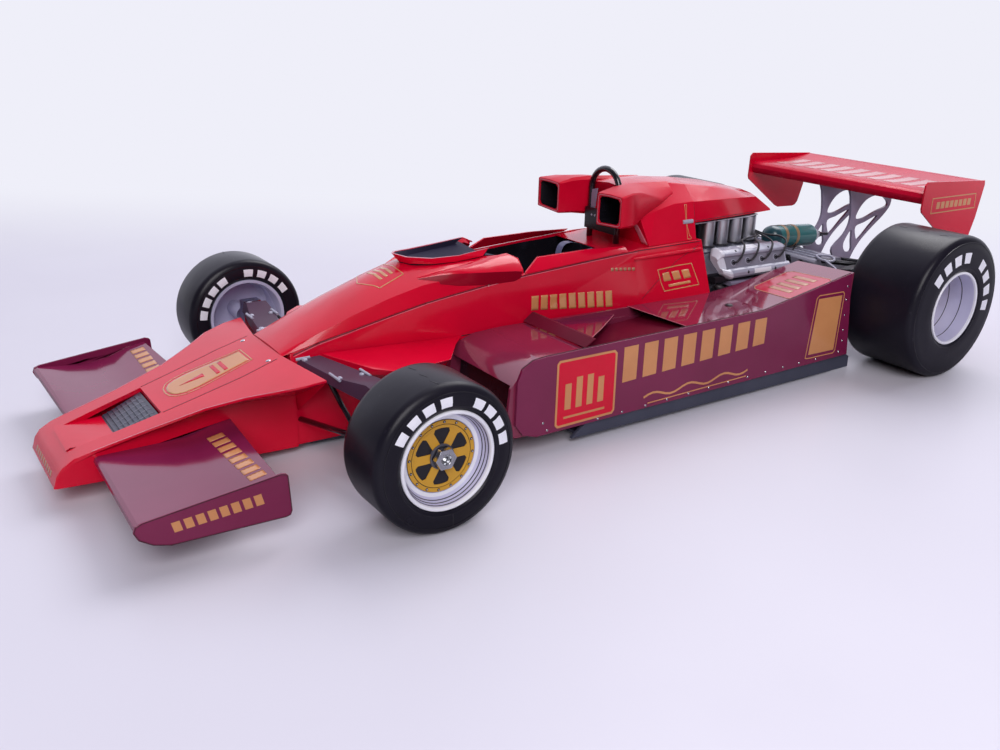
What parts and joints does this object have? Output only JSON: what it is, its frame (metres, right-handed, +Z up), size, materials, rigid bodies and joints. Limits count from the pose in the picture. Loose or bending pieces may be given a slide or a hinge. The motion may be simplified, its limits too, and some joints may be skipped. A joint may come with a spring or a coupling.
{
  "type": "open wheel racing car",
  "caption": "Glossy card model of an open wheel racing car with flat side pods, high rear wing and freely rolling wheels.",
  "frame": {"origin": "on the floor under the middle of the car's box", "axes": "+X to the nose, +Y to the driver's left, +Z up"},
  "size_m": [0.3728, 0.1624, 0.0775],
  "materials": {
    "red_card": "glossy printed red card",
    "maroon_card": "glossy printed maroon card",
    "slate_card": "satin slate grey card",
    "black_card": "satin black card",
    "black_gloss": "glossy black",
    "lilac_card": "satin lilac grey card",
    "black_steel": "blackened wire",
    "bare_steel": "bright turned metal",
    "silver_card": "silver printed card",
    "grey_card": "satin grey card",
    "teal_card": "satin teal card",
    "exhaust_card": "satin dark card",
    "tyre_black": "satin black",
    "rim_white": "satin pale card"
  },
  "bodies": {
    "root": {"nose_cone": "red_card", "nose_grille": "slate_card", "front_wings": "maroon_card", "front_endplates": "maroon_card", "monocoque": "red_card", "cockpit_cover": "red_card", "windscreen": "red_card", "cockpit_sides": "red_card", "seat": "black_card", "steering_wheel": "black_card", "dashboard": "black_card", "roll_hoop": "black_gloss", "hoop_panel": "black_card", "engine_cover": "red_card", "rear_cowl": "red_card", "air_intakes": "red_card", "engine_block": "grey_card", "cam_covers": "silver_card", "intake_trumpets": "silver_card", "gearbox": "grey_card", "air_bottle": "teal_card", "exhausts": "exhaust_card", "sidepod_left": "maroon_card", "sidepod_right": "maroon_card", "side_plates": "maroon_card", "skirts": "slate_card", "radiator_flaps": "maroon_card", "floor_pan": "slate_card", "front_rocker_arms": "lilac_card", "suspension_fairings": "red_card", "front_wishbones": "black_steel", "front_uprights": "bare_steel", "rear_uprights": "bare_steel", "rear_links": "black_steel", "driveshafts": "black_steel", "rear_wing": "red_card", "rear_endplates": "red_card", "rear_wing_posts": "lilac_card", "wheel_nuts": "bare_steel"},
    "front_left_wheel": {"front_tyre_left": "tyre_black", "front_rim_left": "rim_white"},
    "front_right_wheel": {"front_tyre_right": "tyre_black", "front_rim_right": "rim_white"},
    "rear_left_wheel": {"rear_tyre_left": "tyre_black", "rear_rim_left": "rim_white"},
    "rear_right_wheel": {"rear_tyre_right": "tyre_black", "rear_rim_right": "rim_white"}
  },
  "joints": [
    {"name": "front_left_roll", "type": "hinge", "parent": "root", "child": "front_left_wheel", "pos_m": [0.103, 0.071, 0.02115], "axis": [0, 1, 0], "continuous": true},
    {"name": "front_right_roll", "type": "hinge", "parent": "root", "child": "front_right_wheel", "pos_m": [0.103, -0.071, 0.02115], "axis": [0, 1, 0], "continuous": true},
    {"name": "rear_left_roll", "type": "hinge", "parent": "root", "child": "rear_left_wheel", "pos_m": [-0.1235, 0.064, 0.0277], "axis": [0, 1, 0], "continuous": true},
    {"name": "rear_right_roll", "type": "hinge", "parent": "root", "child": "rear_right_wheel", "pos_m": [-0.1235, -0.064, 0.0277], "axis": [0, 1, 0], "continuous": true}
  ]
}
